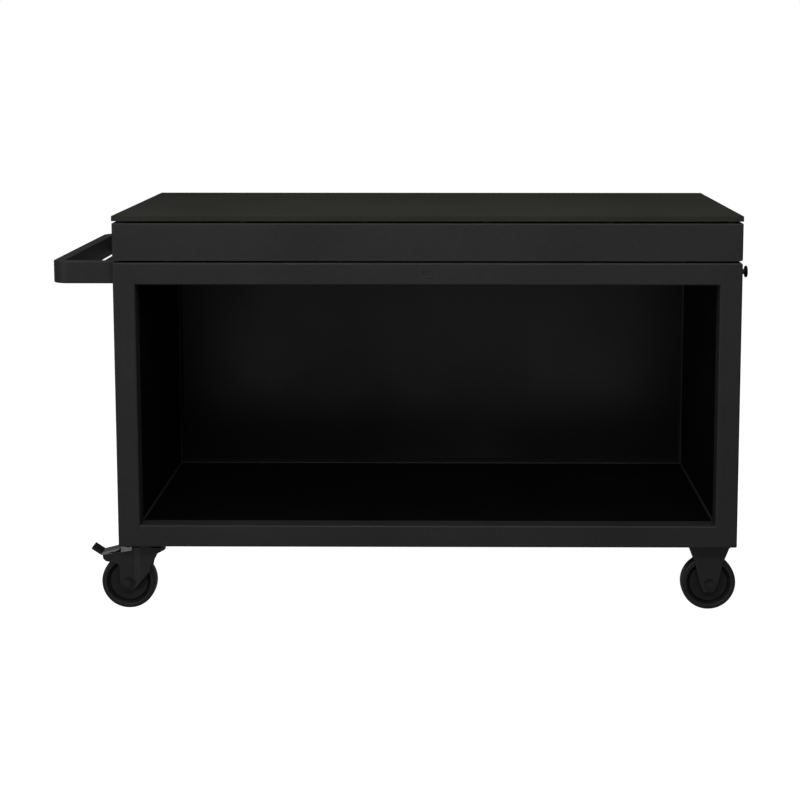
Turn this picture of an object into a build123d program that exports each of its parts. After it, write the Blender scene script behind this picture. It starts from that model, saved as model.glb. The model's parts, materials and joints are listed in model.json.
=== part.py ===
from build123d import *
import math
import os

# Rolling worktop cabinet: an open-fronted bay in a frame of square tube, a folded carrier with a thin
# stone slab on top, a push handle on the left, tool pegs on the right, two swivel casters with brakes
# on the left and two fixed casters on the right. Millimetres, +Z up, the front faces -Y.

# ---------------------------------------------------------------- overall sizes
width = 1400.0
depth = 700.0
frame_height = 648.0
carrier_height = 84.0
slab_thickness = 12.0

# ---------------------------------------------------------------- frame of square tube
tube = 50.0
tube_wall = 2.0
tube_corner = 4.0
ring_corner = 5.0
panel_sheet = 1.5
panel_inset = tube_corner
corner_plate_reach = 90.0
corner_plate_sheet = 4.0

# ---------------------------------------------------------------- worktop carrier and slab
carrier_sheet = 2.0
carrier_flange = 42.0
carrier_bend = 3.0
carrier_side_bend = 6.0
carrier_corner = 4.5
carrier_gap = 4.0
crossbar_width = 40.0
crossbar_height = 30.0
crossbar_wall = 2.0
crossbar_count = 3
slab_gap = 4.0
slab_edge = 0.5
slab_pad_radius = 12.0
slab_pad_columns = 6

# ---------------------------------------------------------------- handle, pegs, nameplate
handle_reach = 142.0
handle_thickness = 25.0
handle_height = 50.0
handle_wall = 2.0
handle_bend = 36.0
handle_front_inset = 25.0
handle_edge = 2.5
handle_bolt_count = 4
handle_bolt_inset = 60.0
peg_count = 4
peg_stem_radius = 7.0
peg_stem_length = 11.0
peg_head_radius = 13.5
peg_head_thickness = 7.0
peg_inset = 55.0
nameplate_width = 26.0
nameplate_height = 14.0
nameplate_sheet = 0.8
nameplate_corner = 3.0

# ---------------------------------------------------------------- casters
wheel_diameter = 125.0
wheel_width = 36.0
tyre_depth = 12.0
tyre_shoulder = 6.0
wheel_to_frame = 30.0
caster_inset_x = 57.5
caster_inset_y = 55.0
plate_length = 97.0
plate_width = 85.0
plate_sheet = 3.0
plate_corner = 9.0
bolt_spacing_x = 80.0
leg_sheet = 2.5
wheel_side_gap = 3.0
hub_side_clearance = 0.3
hub_radius = 17.0
rim_radial = 5.0
rim_inset = 1.0
web_thickness = 10.0
axle_radius = 5.0
sleeve_radius = 7.0
running_clearance = 0.05
thread_clearance = 0.05
nut_flats = 17.0
nut_height = 8.0
axle_head_height = 6.5
axle_end = 2.0

# fixed caster bracket
bracket_waist_half = 31.0
bracket_waist_drop = 46.0
bracket_axle_half = 20.5
bracket_foot_half = 11.0
bracket_foot_drop = 20.0
bracket_foot_corner = 5.0

# swivel caster
trail = 42.5
boss_radius = 16.5
leg_back_reach = 19.5
crown_radius = 41.0
crown_top_drop = 10.3
crown_bottom_drop = 26.0
crown_rim = 10.6
race_radius = 24.0
race_outer = 31.0
race_bottom_drop = 8.7
ball_radius = 3.0
ball_count = 20
ball_clearance = 0.05
kingpin_radius = 6.0
kingpin_head_radius = 11.0
kingpin_head_height = 5.0
kingpin_head_gap = 0.3
leg_front_reach = 27.5
ear_reach = 58.0
ear_top_drop = 16.5
ear_top_fall = 12.5
ear_nose = 7.0
ear_bottom_drop = 42.5
spring_near = 33.3
spring_far = 58.0
spring_top_drop = 8.5
spring_sheet = 1.5
spring_seat = 0.3

# brake
lever_sheet = 2.0
lever_side_gap = 0.7
lever_flange = 2.0
pin_radius = 3.0
pin_back = 40.5
pin_drop = 32.0
pin_head_radius = 5.0
pin_head_height = 1.5
lever_knuckle = 8.0
lever_heel = 21.0
lever_heel_rise = 18.5
lever_heel_foot = 6.0
slot_foot = 8.0
slot_height = 3.0
brake_angle = 18.0
shoe_clearance = 0.4
shoe_depth = 8.5
shoe_length = 8.0
pad_length = 26.0
pad_thickness = 6.5
pad_side_gap = 1.0
pad_tilt = 34.0
pad_out = 31.0
pad_rise = 13.2
pad_edge = 2.0
pad_tab = 18.0
pad_tab_inset = 7.0

# ---------------------------------------------------------------- fasteners
caster_bolt_radius = 4.0
caster_bolt_head_radius = 6.4
caster_bolt_head_gap = 0.1
caster_bolt_head_height = 4.4
caster_bolt_grip = 11.0
hole_clearance = 0.5
rivet_nut_wall = 1.5
rivet_nut_length = 14.0
carrier_bolt_radius = 3.0
carrier_bolt_head_radius = 5.5
carrier_bolt_head_height = 3.5
carrier_bolt_columns = 4
carrier_bolt_end = 8.0
spacer_radius = 10.0
handle_bolt_radius = 4.0
handle_bolt_head_radius = 7.0
handle_bolt_head_height = 4.4
handle_bolt_end = 12.0

# ---------------------------------------------------------------- places worked out from the sizes
wheel_radius = wheel_diameter / 2
caster_height = wheel_diameter + wheel_to_frame
half_width = width / 2
half_depth = depth / 2
bottom = caster_height
bay_bottom = bottom + tube
bay_top = bottom + frame_height - tube
frame_top = bottom + frame_height
carrier_bottom = frame_top + carrier_gap
carrier_top = carrier_bottom + carrier_height
slab_bottom = carrier_top + slab_gap
slab_top = slab_bottom + slab_thickness
opening_half_width = half_width - tube
opening_half_depth = half_depth - tube
peg_reach = peg_stem_length + peg_head_thickness
# The origin is under the middle of the whole object, handle, pegs and nameplate included.
cabinet_x = (handle_reach - peg_reach) / 2
cabinet_y = nameplate_sheet / 2
caster_x = half_width - caster_inset_x
caster_y = half_depth - caster_inset_y
axle_drop = caster_height - wheel_radius
leg_gap = wheel_width + 2 * wheel_side_gap
pad_width = leg_gap - 2 * pad_side_gap
pad_tab_width = pad_width - 2 * pad_tab_inset
bolt_spacing_y = leg_gap + 2 * (leg_sheet + caster_bolt_head_radius + caster_bolt_head_gap)

nodes = {}


def add(name, *shapes):
    """Stores one node, a single solid or a group of separate ones."""
    nodes[name] = shapes


def block(x0, x1, y0, y1, z0, z1):
    """A box between two corners."""
    middle = Pos((x0 + x1) / 2, (y0 + y1) / 2, (z0 + z1) / 2)
    return middle * Box(abs(x1 - x0), abs(y1 - y0), abs(z1 - z0))


def prism_y(face, y0, y1):
    """A face drawn in X and Z, made solid from y0 to y1."""
    return Pos(0, y0, 0) * extrude(Plane.XZ * face, amount=y1 - y0, dir=(0, 1, 0))


def prism_z(face, z0, z1):
    """A face drawn in X and Y, made solid from z0 to z1."""
    return Pos(0, 0, z0) * extrude(face, amount=z1 - z0, dir=(0, 0, 1))


def prism_x(face, x0, x1):
    """A face drawn in Y and Z, made solid from x0 to x1."""
    return Pos(x0, 0, 0) * extrude(Plane.YZ * face, amount=x1 - x0, dir=(1, 0, 0))


def rod_x(radius, x0, x1, y, z):
    """A round rod along X."""
    return Pos((x0 + x1) / 2, y, z) * Rot(0, 90, 0) * Cylinder(radius, abs(x1 - x0))


def rod_y(radius, y0, y1, x=0.0, z=0.0):
    """A round rod along Y."""
    return Pos(x, (y0 + y1) / 2, z) * Rot(90, 0, 0) * Cylinder(radius, abs(y1 - y0))


def rod_z(radius, z0, z1, x=0.0, y=0.0):
    """A round rod along Z."""
    return Pos(x, y, (z0 + z1) / 2) * Cylinder(radius, abs(z1 - z0))


def spread(count, low, high):
    """Evenly spaced places from low to high."""
    return [low + (high - low) * i / (count - 1) for i in range(count)]


def corner_wedges(ring_width, ring_height, band):
    """Four faces that split a rectangular ring along its mitres, centred on the origin."""
    w = ring_width / 2
    h = ring_height / 2
    low = Polygon((-w, -h), (w, -h), (w - band, -h + band), (-w + band, -h + band))
    high = Polygon((-w, h), (-w + band, h - band), (w - band, h - band), (w, h))
    left = Polygon((-w, -h), (-w + band, -h + band), (-w + band, h - band), (-w, h))
    right = Polygon((w, -h), (w, h), (w - band, h - band), (w - band, -h + band))
    return {"low": low, "high": high, "left": left, "right": right}


# ---------------------------------------------------------------- frame
def tube_section():
    """The square tube's section."""
    inner = tube - 2 * tube_wall
    bore = RectangleRounded(inner, inner, tube_corner - tube_wall)
    return RectangleRounded(tube, tube, tube_corner) - bore


def frame_ring(y_front):
    """Two posts and two rails, mitred, that stand in one plane with their front at y_front."""
    middle_z = bottom + frame_height / 2
    middle_y = y_front + tube / 2
    outline = RectangleRounded(width, frame_height, ring_corner)
    envelope = Pos(0, 0, middle_z) * prism_y(outline, y_front, y_front + tube)
    wedges = corner_wedges(width, frame_height, tube)
    solid = {}
    for side, sign in (("low", -1), ("high", 1)):
        z = middle_z + sign * (frame_height - tube) / 2
        solid[side] = Pos(0, middle_y, z) * prism_x(tube_section(), -half_width, half_width)
    for side, sign in (("left", -1), ("right", 1)):
        x = sign * (width - tube) / 2
        solid[side] = Pos(x, middle_y, 0) * prism_z(tube_section(), bottom, frame_top)
    ring = {}
    for side, length in solid.items():
        wedge = Pos(0, 0, middle_z) * prism_y(wedges[side], y_front, y_front + tube)
        ring[side] = length & wedge & envelope
    return ring


def side_rail(sign, z):
    """One side rail between the two rings."""
    x = sign * (half_width - tube / 2)
    run = extrude(Plane.XZ * tube_section(), amount=2 * opening_half_depth, dir=(0, 1, 0))
    return Pos(x, -opening_half_depth, z) * run


def frame_holes():
    """Holes in the frame's tubes and corner plates, for rivet nuts, carrier bolts and handle bolts."""
    cuts = []
    nut_radius = caster_bolt_radius + rivet_nut_wall
    for x, y in caster_bolt_places():
        cuts.append(rod_z(nut_radius, bottom - tube_wall, bottom + rivet_nut_length, x, y))
    for x, y in carrier_bolt_places():
        low = frame_top - carrier_bolt_end
        cuts.append(rod_z(carrier_bolt_radius + thread_clearance, low, frame_top + tube_wall, x, y))
    for y in handle_bolt_places():
        end = -half_width + handle_bolt_end
        radius = handle_bolt_radius + thread_clearance
        cuts.append(rod_x(radius, -half_width - tube_wall, end, y, handle_z()))
    return cuts


def caster_bolt_places():
    """All caster bolts, as X and Y."""
    places = []
    for sx in (-1, 1):
        for sy in (-1, 1):
            for bx in (-1, 1):
                for by in (-1, 1):
                    x = sx * caster_x + bx * bolt_spacing_x / 2
                    places.append((x, sy * caster_y + by * bolt_spacing_y / 2))
    return places


def carrier_bolt_places():
    """Bolts from the carrier's bottom flange down into the frame, as X and Y."""
    reach = half_width - tube / 2
    columns = spread(carrier_bolt_columns, -reach + tube * 2, reach - tube * 2)
    places = [(x, sy * (half_depth - tube / 2)) for x in columns for sy in (-1, 1)]
    places += [(sx * reach, 0.0) for sx in (-1, 1)]
    return places


def handle_bolt_places():
    """Y of each handle bolt."""
    reach = half_depth - handle_front_inset - handle_thickness - handle_bolt_inset
    return spread(handle_bolt_count, -reach, reach)


def handle_z():
    """Height of the handle's middle, level with the top rail."""
    return frame_top - handle_height / 2


def build_frame():
    """Rings, side rails and corner plates, with their holes."""
    cuts = frame_holes()
    names = {"low": "bottom_rail", "high": "top_rail", "left": "left_post", "right": "right_post"}
    for place, y_front in (("front", -half_depth), ("rear", half_depth - tube)):
        ring = frame_ring(y_front)
        for side, length in ring.items():
            add(f"{place}_{names[side]}", cut_where_hit(length, cuts))
    for place, sign in (("left", -1), ("right", 1)):
        for level, z in (("bottom", bottom + tube / 2), ("top", frame_top - tube / 2)):
            add(f"{place}_{level}_rail", cut_where_hit(side_rail(sign, z), cuts))
    plates = []
    for sx in (-1, 1):
        for sy in (-1, 1):
            x = sx * opening_half_width
            y = sy * opening_half_depth
            plate = block(x, x - sx * corner_plate_reach, y, y - sy * corner_plate_reach,
                          bottom, bottom + corner_plate_sheet)
            free = plate.edges().filter_by(Axis.Z).sort_by(lambda e: abs(e.center().X) + abs(e.center().Y))
            plates.append(cut_where_hit(chamfer(free[0], corner_plate_reach / 3), cuts))
    add("caster_corner_plates", *plates)


def cut_where_hit(shape, cuts):
    """Cuts a shape with the tools that touch its bounding box."""
    box = shape.bounding_box()
    for tool in cuts:
        other = tool.bounding_box()
        apart = any((
            other.max.X < box.min.X, other.min.X > box.max.X,
            other.max.Y < box.min.Y, other.min.Y > box.max.Y,
            other.max.Z < box.min.Z, other.min.Z > box.max.Z,
        ))
        if not apart:
            shape = shape - tool
    return shape


def build_panels():
    """Sheets that line the bay, set into the tubes' flat faces."""
    floor_top = bay_bottom - panel_inset
    ceiling_bottom = bay_top + panel_inset
    x = opening_half_width
    y = opening_half_depth
    add("bay_floor", block(-x, x, -y, y, floor_top - panel_sheet, floor_top))
    add("bay_ceiling", block(-x, x, -y, y, ceiling_bottom, ceiling_bottom + panel_sheet))
    rear = half_depth - panel_inset
    add("back_panel", block(-x, x, rear - panel_sheet, rear, bay_bottom, bay_top))
    inner = x + panel_inset
    add("left_side_panel", block(-inner, -inner - panel_sheet, -y, y, bay_bottom, bay_top))
    add("right_side_panel", block(inner, inner + panel_sheet, -y, y, bay_bottom, bay_top))


# ---------------------------------------------------------------- worktop carrier and slab
def channel_outline(inset, side_bend):
    """Channel outline with its outer face and its bottom at inset, open inwards (+)."""
    end = carrier_flange + inset
    top = carrier_height - inset
    face = Polygon((inset, inset), (end, inset), (end, top), (inset, top))
    face = fillet(face.vertices().sort_by(lambda v: v.Y - v.X)[-1], carrier_bend - inset)
    if side_bend > inset:
        face = fillet(face.vertices().sort_by(lambda v: v.Y + v.X)[0], side_bend - inset)
    return face


def channel_section(side_bend):
    """Carrier channel of bent sheet, with its bottom bend rounded by side_bend."""
    return channel_outline(0, side_bend) - channel_outline(carrier_sheet, side_bend)


def build_carrier():
    """Four folded channels, cross bars and the bolts to the frame. Returns the spacers round the bolts."""
    along_x = prism_x(channel_section(0), -half_width, half_width)
    side = channel_section(carrier_side_bend)
    along_y = extrude(Plane.XZ * side, amount=depth, dir=(0, 1, 0))
    front = Pos(0, -half_depth, carrier_bottom) * along_x
    left = Pos(-half_width, -half_depth, carrier_bottom) * along_y
    lengths = {
        "front": front,
        "rear": mirror(front, about=Plane.XZ),
        "left": left,
        "right": mirror(left, about=Plane.YZ),
    }
    wedges = corner_wedges(width, depth, carrier_flange)
    sides = {"front": "low", "rear": "high", "left": "left", "right": "right"}
    outline = RectangleRounded(width, depth, carrier_corner)
    envelope = prism_z(outline, carrier_bottom, carrier_top)
    front_view = Rectangle(width, carrier_height)
    front_view = fillet(front_view.vertices().sort_by(Axis.Y)[:2], carrier_side_bend)
    middle = Pos(0, 0, carrier_bottom + carrier_height / 2)
    envelope &= middle * prism_y(front_view, -half_depth, half_depth)
    holes = [
        rod_z(carrier_bolt_radius + hole_clearance, carrier_bottom - 1, carrier_bottom + carrier_sheet + 1, x, y)
        for x, y in carrier_bolt_places()
    ]
    for place, length in lengths.items():
        wedge = prism_z(wedges[sides[place]], carrier_bottom, carrier_top)
        add(f"carrier_{place}", cut_where_hit(length & wedge & envelope, holes))

    bars = []
    y = half_depth - carrier_flange
    outer = Rectangle(crossbar_width, crossbar_height)
    bore = Rectangle(crossbar_width - 2 * crossbar_wall, crossbar_height - 2 * crossbar_wall)
    for x in crossbar_places():
        bar = prism_y(outer - bore, -y, y)
        bars.append(Pos(x, 0, carrier_top - crossbar_height / 2) * bar)
    add("carrier_cross_bars", *bars)

    spacers = []
    bolts = []
    for x, y in carrier_bolt_places():
        spacer = rod_z(spacer_radius, frame_top, carrier_bottom, x, y)
        spacers.append(spacer - rod_z(carrier_bolt_radius + hole_clearance, frame_top - 1, carrier_bottom + 1, x, y))
        seat = carrier_bottom + carrier_sheet
        shank = rod_z(carrier_bolt_radius, frame_top - carrier_bolt_end, seat, x, y)
        head = rod_z(carrier_bolt_head_radius, seat, seat + carrier_bolt_head_height, x, y)
        bolts.append(shank + head)
    add("carrier_bolts", *bolts)
    return spacers


def crossbar_places():
    """X of each cross bar."""
    step = width / (crossbar_count + 1)
    return [-half_width + step * (i + 1) for i in range(crossbar_count)]


def build_slab(spacers):
    """The slab and the rubber pads under it, kept in one node with the carrier's spacers."""
    plate = block(-half_width, half_width, -half_depth, half_depth, slab_bottom, slab_top)
    rims = plate.edges().filter_by(Plane.XY)
    add("worktop_slab", chamfer(rims, slab_edge))
    reach_x = half_width - carrier_flange / 2
    reach_y = half_depth - carrier_flange / 2
    places = [(x, sy * reach_y) for x in spread(slab_pad_columns, -reach_x, reach_x) for sy in (-1, 1)]
    places += [(sx * reach_x, 0.0) for sx in (-1, 1)]
    places += [(x, sy * half_depth / 2) for x in crossbar_places() for sy in (-1, 1)]
    pads = [rod_z(slab_pad_radius, carrier_top, slab_bottom, x, y) for x, y in places]
    add("rubber_pads", *spacers, *pads)


# ---------------------------------------------------------------- handle, pegs, nameplate
def handle_outline(grow):
    """The handle loop's outer outline in X and Y, grown outwards by grow."""
    reach = handle_reach + grow
    y = half_depth - handle_front_inset + grow
    face = Pos(-half_width - reach / 2, 0) * Rectangle(reach, 2 * y)
    corners = face.vertices().sort_by(Axis.X)[:2]
    return fillet(corners, handle_bend + grow)


def handle_hole(grow):
    """The outline of the space inside the loop, grown outwards by grow."""
    t = handle_thickness - grow
    reach = handle_reach - t
    y = half_depth - handle_front_inset - t
    face = Pos(-half_width - reach / 2, 0) * Rectangle(reach, 2 * y)
    corners = face.vertices().sort_by(Axis.X)[:2]
    return fillet(corners, max(handle_bend - t, 1.0))


def build_handle():
    """The bent loop, the mounting bar inside its open side, and the bolts to the side rail."""
    z0 = handle_z() - handle_height / 2
    z1 = handle_z() + handle_height / 2
    body = prism_z(handle_outline(0) - handle_hole(0), z0, z1)
    rims = [e for e in body.edges().filter_by(Plane.XY) if abs(e.center().X + half_width) > 1]
    body = fillet(rims, handle_edge)
    cavity_face = handle_outline(-handle_wall) - handle_hole(handle_wall)
    cavity = prism_z(cavity_face, z0 + handle_wall, z1 - handle_wall)
    add("handle_loop", body - cavity)

    y = half_depth - handle_front_inset - handle_thickness
    w = handle_wall
    section = Rectangle(handle_thickness, handle_height)
    section -= Rectangle(handle_thickness - 2 * w, handle_height - 2 * w)
    bar = Pos(-half_width - handle_thickness / 2, 0, handle_z()) * prism_y(section, -y, y)
    seat = -half_width - handle_thickness
    bolts = []
    for place in handle_bolt_places():
        bar -= rod_x(handle_bolt_radius + hole_clearance, seat - 1, -half_width + 1, place, handle_z())
        head = rod_x(handle_bolt_head_radius, seat - handle_bolt_head_height, seat, place, handle_z())
        shank = rod_x(handle_bolt_radius, seat, -half_width + handle_bolt_end, place, handle_z())
        bolts.append(head + shank)
    add("handle_mount_bar", bar)
    add("handle_bolts", *bolts)


def build_trim():
    """Pegs on the right side and the blank nameplate on the front top rail."""
    z = frame_top - tube / 2
    pegs = []
    for y in spread(peg_count, -half_depth + peg_inset, half_depth - peg_inset):
        stem = rod_x(peg_stem_radius, half_width, half_width + peg_stem_length, y, z)
        head = rod_x(peg_head_radius, half_width + peg_stem_length, half_width + peg_reach, y, z)
        rim = head.edges().sort_by(Axis.X)[-1]
        pegs.append(stem + fillet(rim, peg_head_thickness / 3))
    add("tool_pegs", *pegs)
    plate = RectangleRounded(nameplate_width, nameplate_height, nameplate_corner)
    add("blank_nameplate", Pos(0, 0, z) * prism_y(plate, -half_depth - nameplate_sheet, -half_depth))


# ---------------------------------------------------------------- casters
# Each caster is built with its plate's centre at the origin and the frame's underside at Z = 0.
def place_caster(sx, sy):
    """The location of a caster's plate centre."""
    return Pos(sx * caster_x, sy * caster_y, bottom)


def caster_plate():
    """The flat top plate with its four bolt holes."""
    plate = prism_z(RectangleRounded(plate_length, plate_width, plate_corner), -plate_sheet, 0)
    for bx in (-1, 1):
        for by in (-1, 1):
            x = bx * bolt_spacing_x / 2
            y = by * bolt_spacing_y / 2
            plate -= rod_z(caster_bolt_radius + hole_clearance, -plate_sheet - 1, 1, x, y)
    return plate


def tyre(x):
    """The tyre round an axle at x."""
    half = wheel_width / 2
    inner = wheel_radius - tyre_depth
    face = Polygon((inner, -half), (wheel_radius, -half), (wheel_radius, half), (inner, half))
    shoulders = face.vertices().sort_by(Axis.X)[-2:]
    ring = revolve(Plane.XY * fillet(shoulders, tyre_shoulder), Axis.Y)
    return Pos(x, 0, -axle_drop) * ring


def wheel_core(x):
    """The wheel's core: rim, web and hub, with a plain bore that runs on the axle sleeve."""
    rim_outer = wheel_radius - tyre_depth
    rim_inner = rim_outer - rim_radial
    rim_half = wheel_width / 2 - rim_inset
    hub_half = leg_gap / 2 - hub_side_clearance
    bore = sleeve_radius + running_clearance
    web = web_thickness / 2
    half_face = Polygon(
        (bore, 0), (rim_outer, 0), (rim_outer, rim_half), (rim_inner, rim_half),
        (rim_inner, web), (hub_radius, web), (hub_radius, hub_half), (bore, hub_half),
    )
    half_core = revolve(half_face, Axis.Y)
    core = half_core + mirror(half_core, about=Plane.XZ)
    return Pos(x, 0, -axle_drop) * core


def axle_set(x):
    """Axle bolt, its nut at the front, and the sleeve that the legs clamp and the wheel runs on."""
    outer = leg_gap / 2 + leg_sheet
    z = -axle_drop
    bolt = rod_y(axle_radius, -outer - nut_height - axle_end, outer, x, z)
    hexagon = RegularPolygon(nut_flats / 2, 6, major_radius=False)
    head = prism_y(hexagon, outer, outer + axle_head_height)
    bolt += Pos(x, 0, z) * head
    nut = Pos(x, 0, z) * prism_y(hexagon, -outer - nut_height, -outer)
    nut -= rod_y(axle_radius + thread_clearance, -outer - nut_height - 1, -outer + 1, x, z)
    sleeve = rod_y(sleeve_radius, -leg_gap / 2, leg_gap / 2, x, z)
    sleeve -= rod_y(axle_radius + thread_clearance, -leg_gap / 2 - 1, leg_gap / 2 + 1, x, z)
    return bolt, nut, sleeve


def two_legs(outline):
    """A leg outline in X and Z, made solid on both sides of the wheel."""
    half = leg_gap / 2
    front = prism_y(outline, -half - leg_sheet, -half)
    return front + prism_y(outline, half, half + leg_sheet)


def fixed_bracket():
    """Pressed bracket of a fixed caster: plate and two tapered legs."""
    waist = -bracket_waist_drop
    z = -axle_drop
    foot = z - bracket_foot_drop
    top = plate_length / 2
    outline = Polygon(
        (-top, -plate_sheet / 2), (-bracket_waist_half, waist), (-bracket_axle_half, z),
        (-bracket_foot_half, foot), (bracket_foot_half, foot), (bracket_axle_half, z),
        (bracket_waist_half, waist), (top, -plate_sheet / 2),
    )
    outline = fillet(outline.vertices().sort_by(Axis.Y)[:2], bracket_foot_corner)
    body = caster_plate() + two_legs(outline)
    outer = leg_gap / 2 + leg_sheet
    return body - rod_y(axle_radius + thread_clearance, -outer - 1, outer + 1, 0, z)


def ear_top(x):
    """Z of the ear's sloping top edge at x."""
    start = -crown_radius * 0.7
    return -ear_top_drop - ear_top_fall * (start - x) / (start + trail + ear_reach)


def fork_outline():
    """One leg of the swivel fork, with the ear that carries the brake lever."""
    z = -axle_drop
    ear = -trail - ear_reach
    back = -trail - leg_back_reach
    start = -crown_radius * 0.7
    leg = Polygon(
        (start, ear_top(start)),
        (ear, ear_top(ear)),
        (ear, ear_top(ear) - ear_nose),
        (ear + ear_nose / 2, -ear_bottom_drop + ear_nose / 2),
        (ear + ear_nose, -ear_bottom_drop),
        (back - ear_nose / 2, -ear_bottom_drop - ear_nose),
        (back, -ear_bottom_drop - 2.5 * ear_nose),
        (back, z + boss_radius * 0.8),
        (-trail - boss_radius, z),
        (-trail + boss_radius * 0.7, z - boss_radius * 0.7),
        (-trail + boss_radius * 1.25, z),
        (leg_front_reach, -crown_bottom_drop - plate_sheet),
        (leg_front_reach, -crown_bottom_drop + plate_sheet),
    )
    return leg + Pos(-trail, z) * Circle(boss_radius)


def fork():
    """Swivel fork: crown with the lower ball race, two legs and the ears."""
    rim_z = -crown_top_drop - crown_rim
    foot = leg_front_reach
    profile = Polygon(
        (0, -crown_bottom_drop), (foot, -crown_bottom_drop), (crown_radius, rim_z),
        (crown_radius, -crown_top_drop), (0, -crown_top_drop),
    )
    crown = revolve(Plane.XZ * profile, Axis.Z)
    # a flat on the crown leaves room for the brake spring
    crown -= block(-crown_radius - 1, spring_seat - spring_near, -crown_radius, crown_radius, rim_z, 0)
    outer = leg_gap / 2 + leg_sheet
    body = crown + two_legs(fork_outline())
    body -= rod_z(kingpin_radius + running_clearance, -axle_drop, 0)
    body -= Pos(0, 0, ball_height()) * Torus(race_radius, ball_radius + ball_clearance)
    body -= rod_y(axle_radius + thread_clearance, -outer - 1, outer + 1, -trail, -axle_drop)
    x, z = pin_place()
    return body - rod_y(pin_radius, -outer - 1, outer + 1, x, z)


def ball_height():
    """Z of the balls' centres, midway between the races."""
    return -(race_bottom_drop + crown_top_drop) / 2


def swivel_plate():
    """Top plate of a swivel caster with the upper race."""
    body = caster_plate() + rod_z(race_outer, -race_bottom_drop, -plate_sheet / 2)
    body -= rod_z(kingpin_radius, -race_bottom_drop - 1, 1)
    return body - Pos(0, 0, ball_height()) * Torus(race_radius, ball_radius + ball_clearance)


def kingpin():
    """Kingpin, flush on top, with its head under the crown."""
    head_top = -crown_bottom_drop - kingpin_head_gap
    head = rod_z(kingpin_head_radius, head_top - kingpin_head_height, head_top)
    return rod_z(kingpin_radius, head_top - kingpin_head_height, 0) + head


def balls():
    """Balls of one swivel head."""
    turn = 360 / ball_count
    start = Pos(race_radius, 0, ball_height()) * Sphere(ball_radius)
    return [Rot(0, 0, turn * i) * start for i in range(ball_count)]


def pin_place():
    """X and Z of the brake lever's pin."""
    return -trail - pin_back, -pin_drop


def brake_spring():
    """Folded sheet that stands on the ears between the crown and the brake lever."""
    wall = Polygon(
        (-spring_far, -spring_top_drop), (-spring_near, -spring_top_drop),
        (-spring_near, ear_top(-spring_near)), (-spring_far, ear_top(-spring_far)),
    )
    half = leg_gap / 2 + leg_sheet
    body = prism_y(wall, -half, half)
    inner = half - spring_sheet
    low = ear_top(-spring_far) - 1
    return body - block(-spring_far - 1, -spring_near + 1, -inner, inner, low, -spring_top_drop - spring_sheet)


def lever_pin():
    """Pin with a flat head on each ear."""
    outer = leg_gap / 2 + leg_sheet
    x, z = pin_place()
    pin = rod_y(pin_radius, -outer, outer, x, z)
    for sign in (-1, 1):
        pin += rod_y(pin_head_radius, sign * outer, sign * (outer + pin_head_height), x, z)
    return pin


def pad_frame():
    """Location of the pedal pad's middle, with its X along the pad and pointing inwards."""
    x, z = pin_place()
    return Pos(x - pad_out, 0, z + pad_rise) * Rot(0, pad_tilt, 0)


def pad_tab_box(slack):
    """The lever's tab inside the pad, grown by slack."""
    start = pad_length / 2 - pad_tab
    end = pad_length / 2 + lever_sheet
    half = pad_tab_width / 2 + slack
    t = lever_sheet / 2 + slack
    return pad_frame() * block(start - slack, end, -half, half, -t, t)


def beside_pad(along, across):
    """A point given from the pad's middle, along and across the pad, as X and Z."""
    x, z = pin_place()
    turn = math.radians(pad_tilt)
    out = along * math.cos(turn) + across * math.sin(turn)
    up = across * math.cos(turn) - along * math.sin(turn)
    return x - pad_out + out, z + pad_rise + up


def brake_lever():
    """Lever: end plate and web, slotted cheeks on the pin, tab for the pad, and shoe over the tyre."""
    x, z = pin_place()
    half = leg_gap / 2 - lever_side_gap
    near = pad_length / 2
    high = beside_pad(near, pad_thickness / 2)
    low = beside_pad(near, -pad_thickness / 2)
    heel = (x + lever_heel, z + lever_heel_rise)
    foot = (x + lever_heel, z + lever_heel_foot)
    end_plate = pad_frame() * block(near, near + lever_sheet, -half, half, -pad_thickness / 2, pad_thickness / 2)
    web = Polygon(high, heel, (heel[0], heel[1] - lever_sheet), (high[0], high[1] - lever_sheet))
    cheek = Polygon(low, high, heel, foot, (x + lever_knuckle, z), (x - lever_knuckle, z))
    cheek += Pos(x, z) * Circle(lever_knuckle)
    # the slot follows the web and runs out at the heel
    low_line = z + slot_foot
    high_line = low_line + slot_height
    slot = Polygon(
        (x - lever_knuckle, low_line - slot_height / 2), (x + slot_height, high_line),
        (x + lever_heel / 2, high_line), (heel[0] + 1, high_line + 2 * slot_height),
        (heel[0] + 1, low_line + slot_height), (x + lever_heel / 2, low_line), (x + slot_height, low_line),
    )
    cheek -= slot
    cheeks = prism_y(cheek, -half, -half + lever_flange) + prism_y(cheek, half - lever_flange, half)
    shoe_top = z - pin_radius - 1
    shoe = block(x - shoe_length, x, -half, half, shoe_top - shoe_depth, shoe_top)
    body = end_plate + prism_y(web, -half, half) + cheeks + shoe + pad_tab_box(0)
    # keep clear of the tyre at rest, and ride just off it with the pedal down
    radius = wheel_radius + shoe_clearance
    wheel_x = -trail - x
    wheel_z = -axle_drop - z
    turn = math.radians(brake_angle)
    back_x = wheel_x * math.cos(turn) + wheel_z * math.sin(turn)
    back_z = -wheel_x * math.sin(turn) + wheel_z * math.cos(turn)
    tread = wheel_width / 2 + shoe_clearance
    body -= rod_y(radius, -tread, tread, x + wheel_x, z + wheel_z)
    body -= rod_y(radius, -tread, tread, x + back_x, z + back_z)
    return body - rod_y(pin_radius + running_clearance, -half - 1, half + 1, x, z)


def pedal_pad():
    """Moulded pad pushed on the lever's tab."""
    pad = Box(pad_length, pad_width, pad_thickness)
    pad = pad_frame() * fillet(pad.edges(), pad_edge)
    return pad - pad_tab_box(thread_clearance)


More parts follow.
